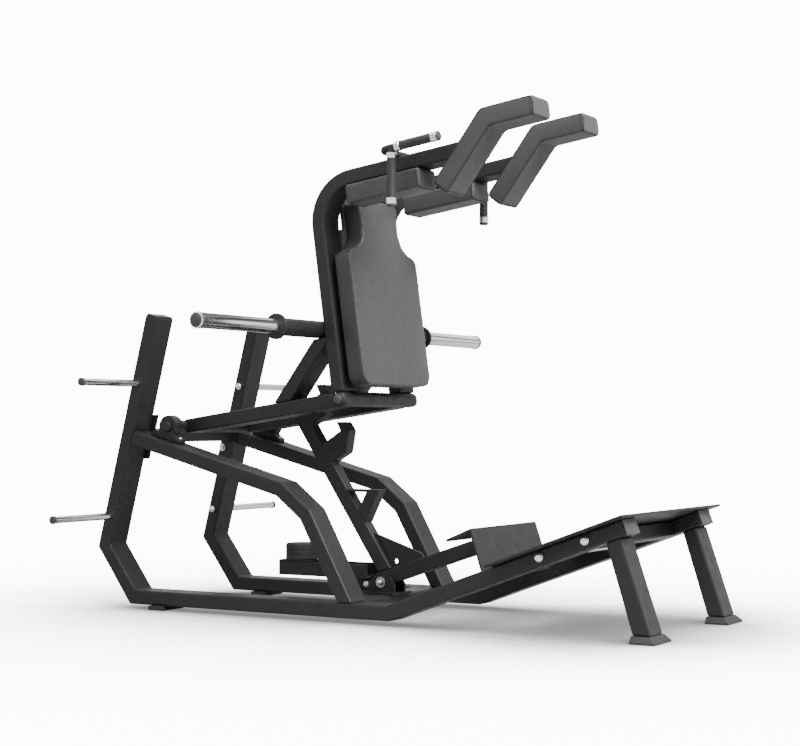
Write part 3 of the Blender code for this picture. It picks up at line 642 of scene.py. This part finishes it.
def front_pads():
    """Bent pads at the front of the arm, held along their upper side."""
    heel, knee, nose = (1.142, 0.651), (1.346, 0.855), (1.540, 0.855)
    thick = 0.065
    inset = 0.0012
    from_end = 0.0085
    step = from_end * SIN_45
    y_in, y_out = 0.1280 + inset, 0.2500 - inset
    low_heel = (heel[0] + thick * SIN_45, heel[1] - thick * SIN_45)
    low_knee = (knee[0] + thick * TAN_22, knee[1] - thick)
    low_nose = (nose[0], nose[1] - thick)
    corners = [low_heel, low_knee, low_nose, nose, knee, heel]

    def backing(co):
        u, v, _ = to_arm(co)
        on_leg = (v - u) > (heel[1] - heel[0]) - 0.003 and u < knee[0]
        return on_leg or (v > knee[1] - 0.002 and u >= knee[0])

    def cords(sign):
        at_nose = [(u - from_end, v) for u, v in (nose, low_nose)]
        at_heel = [(u + step, v + step) for u, v in (heel, low_heel)]
        rings = [band(top, low, y_out, y_in, sign) for top, low in (at_nose, at_heel)]
        return side_seams(corners, (y_out, y_in), sign) + rings

    shoulder_pads("front", backing, cords(-1.0), cords)


# ------------------------------------------------------------------- handles

HANDLE_RADIUS = 0.0125
HANDLE_U = 1.003
HANDLE_V = 0.768 + HANDLE_RADIUS + 0.0004
HANDLE_Y = 0.320
HANDLE_BEND = 0.030
DROP_U = 1.0420
RING_RADIUS = 0.0168
RING_EDGE = 0.0150
SEAT = 0.0006

# Each ring, end cap and plug is a row of (distance, radius) steps.
RING = [(0.0, HANDLE_RADIUS - 0.001), (0.0, RING_EDGE), (0.0015, RING_RADIUS), (0.0185, RING_RADIUS),
        (0.0200, RING_EDGE), (0.0200, HANDLE_RADIUS - 0.001)]
END_RING = [(0.0, HANDLE_RADIUS), (0.0, RING_EDGE), (0.0015, RING_RADIUS), (0.0205, RING_RADIUS),
            (0.0220, 0.0155)]
END_PLUG = [(0.0205, 0.0150), (0.0222, 0.0164), (0.0262, 0.0164), (0.0285, 0.0148), (0.0297, 0.0100)]


def handles():
    """Bent tube and drop tube with chrome rings and dark end plugs, one set per side."""
    for side, sign in SIDES:
        def spot(u, y):
            return arm_point(u, HANDLE_V, sign * y)

        path = [spot(HANDLE_U, y) for y in (0.150, 0.200, 0.250, HANDLE_Y - HANDLE_BEND)]
        for k in range(1, 10):
            a = radians(10.0 * k)
            path.append(spot(HANDLE_U + HANDLE_BEND * (1.0 - cos(a)),
                             HANDLE_Y - HANDLE_BEND * (1.0 - sin(a))))
        path += [spot(u, HANDLE_Y) for u in (1.058, 1.130, 1.228)]
        tube = tube_along("handle_tube_" + side, path, HANDLE_RADIUS, False, 24)
        finish_piece(tube, ARM_PAINT, "arm")
        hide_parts("handle_" + side)
        low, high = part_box("drop_grip_" + side)
        x, y, _ = middle("drop_grip_" + side)
        top = arm_point(DROP_U, HANDLE_V).z
        drop = [Vector((x, y, z)) for z in (top, top - 0.06, low[2] - 0.02)]
        stem = tube_along("drop_tube_" + side, drop, HANDLE_RADIUS, False, 24)
        finish_piece(stem, ARM_PAINT, "arm")
        pieces = (
            ("top_ring_inner_", spot(1.0596, HANDLE_Y), U_WAY, RING),
            ("top_ring_end_", spot(1.1984, HANDLE_Y), U_WAY, END_RING),
            ("drop_ring_upper_", Vector((x, y, high[2] + SEAT)), (0, 0, 1), RING),
            ("drop_ring_end_", Vector((x, y, low[2] - SEAT)), (0, 0, -1), END_RING),
        )
        for label, centre, axis, profile in pieces:
            finish_piece(turned(label + side, centre, axis, profile), CHROME, "arm")
        for label, centre, axis, _ in (pieces[1], pieces[3]):
            tip = turned(label.replace("ring", "plug") + side, centre, axis, END_PLUG)
            finish_piece(tip, CAP_RUBBER, "arm")


# ---------------------------------------------------------------- small trims

PEG_END_Y = 0.6494
SLEEVE_END_Y = 0.8940
COLLAR_Y = 0.4692
SLEEVE_RADIUS = 0.0250
SLEEVE_RIM = 0.0262
COLLAR_RADIUS = 0.0435
COLLAR_EDGE = 0.0425

# Again (distance, radius) steps.
PEG_PLUG = [(0.0, 0.0136), (0.0, 0.0145), (0.0085, 0.0145), (0.0100, 0.0130), (0.0104, 0.0080)]
SLEEVE_PLUG = [(0.0, 0.0262), (0.0, 0.0270), (0.0060, 0.0272), (0.0095, 0.0258), (0.0125, 0.0225),
               (0.0150, 0.0170), (0.0164, 0.0100), (0.0168, 0.0040)]
COLLAR = [(0.0, 0.0405), (0.0, COLLAR_EDGE), (0.0015, COLLAR_RADIUS), (0.0085, COLLAR_RADIUS),
          (0.0100, COLLAR_EDGE), (0.0100, 0.0255)]


def peg_tips():
    """Dark plugs in the ends of pegs and sleeves, and a collar behind each sleeve."""
    for side, sign in SIDES:
        for which in ("upper", "lower"):
            mid = middle("storage_peg_%s_%s" % (which, side))
            tip = turned("peg_plug_%s_%s" % (which, side), (mid.x, sign * PEG_END_Y, mid.z), (0, sign, 0),
                         PEG_PLUG)
            finish_piece(tip, CAP_RUBBER, "frame")
        mid = middle("weight_sleeve_" + side)
        tip = turned("sleeve_plug_" + side, (mid.x, sign * SLEEVE_END_Y, mid.z), (0, sign, 0), SLEEVE_PLUG)
        finish_piece(tip, CAP_RUBBER, "arm")
        collar = turned("sleeve_collar_" + side, (mid.x, sign * COLLAR_Y, mid.z), (0, sign, 0), COLLAR, 56)
        finish_piece(collar, ARM_PAINT, "arm")


def sleeves():
    """Loading sleeves turned bright and smooth, with a raised end."""
    for side, sign in SIDES:
        mid = middle("weight_sleeve_" + side)
        low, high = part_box("weight_sleeve_" + side)
        inner, outer = sorted((abs(low[1]), abs(high[1])))
        profile = [(inner, SLEEVE_RADIUS), (outer - 0.0125, SLEEVE_RADIUS), (outer - 0.0105, SLEEVE_RIM),
                   (outer - 0.0020, SLEEVE_RIM), (outer, 0.0245)]
        item = turned("bright_sleeve_" + side, (mid.x, 0.0, mid.z), (0, sign, 0), profile, 72)
        finish_piece(item, CHROME, "arm")
        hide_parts("weight_sleeve_" + side)


def hex_bolt(name, centre, axis, width, high, washer):
    """Washer and hexagon head with chamfered corners, fixed to the frame."""
    axis = Vector(axis).normalized()
    ring = [(-SEAT, washer * 0.8), (-SEAT, washer), (0.0012, washer), (0.0018, washer - 0.0006)]
    disc = turned(name + "_washer", centre, axis, ring, 28)
    finish_piece(disc, STEEL, "frame")
    steps = [(0.0, width), (high * 0.82, width), (high, width * 0.84)]
    head = turned(name + "_head", Vector(centre) + axis * 0.0015, axis, steps, 6)
    finish_piece(head, STEEL, "frame", 20.0)


def bearing_bolts():
    """Two bolts on each bearing's feet, square to the sloping tube below."""
    tube_rear, tube_front = (-1.004, 0.633), (-0.358, 0.459)
    slope = atan2(tube_front[1] - tube_rear[1], tube_front[0] - tube_rear[0])
    along = Vector((cos(slope), 0.0, sin(slope)))
    up = Vector((-sin(slope), 0.0, cos(slope)))
    drop = 0.0146 - 0.0483
    for side, sign in SIDES:
        for k, step in enumerate((-0.052, 0.052)):
            centre = PIVOT + along * step + up * drop + Y_WAY * sign * 0.308
            hex_bolt("bearing_bolt_%s_%d" % (side, k), centre, up, 0.0070, 0.0060, 0.0095)


def dome(name, centre, axis, radius, high, body, mat=None):
    """Low domed bolt head or plug."""
    profile = [(-0.0008, radius * 0.96), (0.0, radius), (high * 0.25, radius)]
    for k in range(1, 7):
        a = radians(90.0 * k / 6.5)
        profile.append((high * (0.25 + 0.75 * sin(a)), radius * cos(a)))
    piece = turned(name, centre, axis, profile)
    return finish_piece(piece, mat or CHROME, body)


def frame_bolts():
    """Bolts on the ramps, the pegs, the rear cross tube's flanges and the catch pivot."""
    pivot_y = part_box("pivot_bolt")[1][1] + 0.0002
    ear_y = pivot_y - 0.0121
    ramp_y, peg_y, flange_y = 0.3672, 0.2480, 0.2472
    for side, sign in SIDES:
        for which in ("rear", "front"):
            mid = middle("tie_rod_" + which)
            dome("ramp_bolt_%s_%s" % (which, side), (mid.x, sign * ramp_y, mid.z), (0, sign, 0),
                 0.0128, 0.0060, "frame")
        for which in ("upper", "lower"):
            mid = middle("storage_peg_%s_%s" % (which, side))
            dome("peg_bolt_%s_%s" % (which, side), (mid.x, sign * peg_y, mid.z), (0, -sign, 0),
                 0.0105, 0.0055, "frame")
        hex_bolt("flange_bolt_" + side, (PIVOT.x - 0.188, sign * flange_y, PIVOT.z - 0.082), (0, -sign, 0),
                 0.0105, 0.0080, 0.0145)
        hex_bolt("post_bolt_" + side, (CATCH.x - 0.061, sign * ear_y, CATCH.z - 0.009), (0, sign, 0),
                 0.0068, 0.0055, 0.0100)
        dome("pivot_head_" + side, (CATCH.x, sign * pivot_y, CATCH.z), (0, sign, 0), 0.0086, 0.0040,
             "frame")


def crosstube_plugs():
    """Domed plugs in the front cross tube's ends."""
    mid = middle("arm_front_crosstube")
    for side, sign in SIDES:
        plug = dome("crosstube_plug_" + side, (mid.x, sign * 0.2516, mid.z), (0, sign, 0), 0.0165, 0.0060,
                    "arm", CAP_RUBBER)


# ---------------------------------------------------------------- stage, light

WHITE = (1.0, 1.0, 1.0, 1.0)
FLOOR_RADIUS = 9.0
FLOOR_Z = -0.0005
FLOOR_GREY = (0.55, 0.55, 0.55, 1.0)
FLOOR_LIFT = 12.5
SHADE_REACH = 2.0
FADE_START, FADE_END = 1.8, 4.5
SOFT_LIGHT = 0.22
ROOM_LIGHT = 1.7
BACKDROP = 13.0

# Painted shadow on the floor as the camera sees it: how pale it glows, from a dark corner to open ground.
PAINTED_FLOOR_SHADOW = ((0.20, 0.02), (0.55, 0.05), (0.82, 0.20), (0.93, 0.50), (0.988, 1.0))
# The room that shiny parts reflect, from its floor up to its ceiling.
ROOM_BANDS = ((0.0, 0.50), (0.60, 0.95), (0.65, 0.18), (0.71, 0.18), (0.77, 1.0))


def floor_disc():
    """A flat disc of rings and spokes."""
    rings, spokes = 24, 64
    verts, faces = [(0.0, 0.0, FLOOR_Z)], []
    for i in range(1, rings + 1):
        for k in range(spokes):
            a = 2.0 * pi * k / spokes
            r = FLOOR_RADIUS * i / rings
            verts.append((r * cos(a), r * sin(a), FLOOR_Z))
    for k in range(spokes):
        faces.append((0, 1 + k, 1 + (k + 1) % spokes))
    for i in range(rings - 1):
        for k in range(spokes):
            a, b = 1 + i * spokes + k, 1 + i * spokes + (k + 1) % spokes
            faces.append((a, a + spokes, b + spokes, b))
    return new_item("studio_floor", verts, faces)


def mix(look, factor, one, two):
    """One shader where the factor is 0 and the other where it is 1."""
    node = look.add("ShaderNodeMixShader")
    look.wire(factor, node.inputs["Fac"])
    look.wire(one, node.inputs[1])
    look.wire(two, node.inputs[2])
    return node.outputs["Shader"]


def floor():
    """Pale floor that the camera sees as a glow, darkened by painted shadow near the machine, and that
    fades into the white surround at its rim.
    """
    item = floor_disc()
    look = Look("studio_floor_painted_shadow")
    look.shader.inputs["Base Color"].default_value = FLOOR_GREY
    look.set(Roughness=0.8)
    # Painted shadow: the more the machine hems the floor in, the darker its glow.
    sky = look.add("ShaderNodeAmbientOcclusion")
    sky.samples = 12
    sky.inputs["Distance"].default_value = SHADE_REACH
    shade = look.ramp(sky.outputs["AO"], [(at, (grey, grey, grey)) for at, grey in PAINTED_FLOOR_SHADOW])
    seen = look.add("ShaderNodeEmission")
    look.wire(shade, seen.inputs["Color"])
    seen.inputs["Strength"].default_value = FLOOR_LIFT
    clear = look.add("ShaderNodeBsdfTransparent")
    path = look.add("ShaderNodeLightPath")
    away = look.add("ShaderNodeVectorMath", operation="LENGTH")
    look.wire(look.coords.outputs["Object"], away.inputs[0])
    fade = look.span(away.outputs["Value"], 0.0, 1.0, FADE_START, FADE_END)
    rim = mix(look, fade, seen.outputs["Emission"], clear.outputs["BSDF"])
    both = mix(look, path.outputs["Is Camera Ray"], look.shader.outputs["BSDF"], rim)
    look.wire(both, look.tree.nodes["Material Output"].inputs["Surface"])
    item.data.materials.append(look.mat)


def area_light(name, at, aim, size, power):
    """A rectangular lamp that faces a point."""
    data = bpy.data.lights.new(name, "AREA")
    data.shape = "RECTANGLE"
    data.size, data.size_y = size
    data.energy = power
    item = linked(name, data)
    item.location = at
    item.rotation_euler = (Vector(aim) - Vector(at)).to_track_quat("-Z", "Y").to_euler()


def lights():
    """Large soft lamps: one in front, one to the side and one above."""
    area_light("soft_front", (3.0, -0.5, 4.0), (0.1, 0.0, 0.9), (2.8, 2.2), 560.0)
    area_light("soft_side", (0.3, -3.0, 3.2), (0.4, 0.0, 1.4), (2.4, 1.4), 56.0)
    area_light("soft_top", (-0.4, 0.2, 4.4), (0.0, 0.0, 0.4), (3.4, 2.4), 80.0)


def surround():
    """White surround: soft light, a banded room for reflections and a bright backdrop."""
    world = bpy.data.worlds.new("studio")
    bpy.context.scene.world = world
    world.use_nodes = True
    nodes, wire = world.node_tree.nodes, world.node_tree.links.new

    def glow(node, strength):
        node.inputs["Color"].default_value = WHITE
        node.inputs["Strength"].default_value = strength
        return node

    def choose(ray, usual, special):
        node = nodes.new("ShaderNodeMixShader")
        wire(path.outputs[ray], node.inputs["Fac"])
        wire(usual, node.inputs[1])
        wire(special, node.inputs[2])
        return node.outputs["Shader"]

    path = nodes.new("ShaderNodeLightPath")
    soft = glow(nodes["Background"], SOFT_LIGHT)
    backdrop = glow(nodes.new("ShaderNodeBackground"), BACKDROP)
    room = glow(nodes.new("ShaderNodeBackground"), ROOM_LIGHT)
    where = nodes.new("ShaderNodeTexCoord")
    split = nodes.new("ShaderNodeSeparateXYZ")
    height = nodes.new("ShaderNodeMapRange")
    height.inputs["From Min"].default_value = -1.0
    band_ramp = nodes.new("ShaderNodeValToRGB")
    points = band_ramp.color_ramp.elements
    while len(points) < len(ROOM_BANDS):
        points.new(0.5)
    for point, (at, level) in zip(points, ROOM_BANDS):
        point.position = at
        point.color = (level, level, level, 1.0)
    wire(where.outputs["Generated"], split.inputs["Vector"])
    wire(split.outputs["Z"], height.inputs["Value"])
    wire(height.outputs["Result"], band_ramp.inputs["Fac"])
    wire(band_ramp.outputs["Color"], room.inputs["Color"])
    lit = choose("Is Glossy Ray", soft.outputs["Background"], room.outputs["Background"])
    shown = choose("Is Camera Ray", lit, backdrop.outputs["Background"])
    wire(shown, nodes["World Output"].inputs["Surface"])


CAMERA_AT = (3.1146, -5.213, 0.664)
CAMERA_YAW = radians(31.05)
CAMERA_PITCH = radians(1.60)
CAMERA_LENS = 78.66


def camera():
    """The photo's viewpoint, with the lens in mm on a 36 mm wide sensor."""
    data = bpy.data.cameras.new("camera")
    data.sensor_width = 36.0
    data.lens = CAMERA_LENS
    item = linked("camera", data)
    ahead = Vector((-sin(CAMERA_YAW) * cos(CAMERA_PITCH), cos(CAMERA_YAW) * cos(CAMERA_PITCH),
                    sin(CAMERA_PITCH)))
    item.location = CAMERA_AT
    item.rotation_euler = ahead.to_track_quat("-Z", "Y").to_euler()
    bpy.context.scene.camera = item


camera()
paint_nodes()
back_pad()
rear_pads()
front_pads()
handles()
peg_tips()
sleeves()
bearing_bolts()
frame_bolts()
crosstube_plugs()
floor()
lights()
surround()
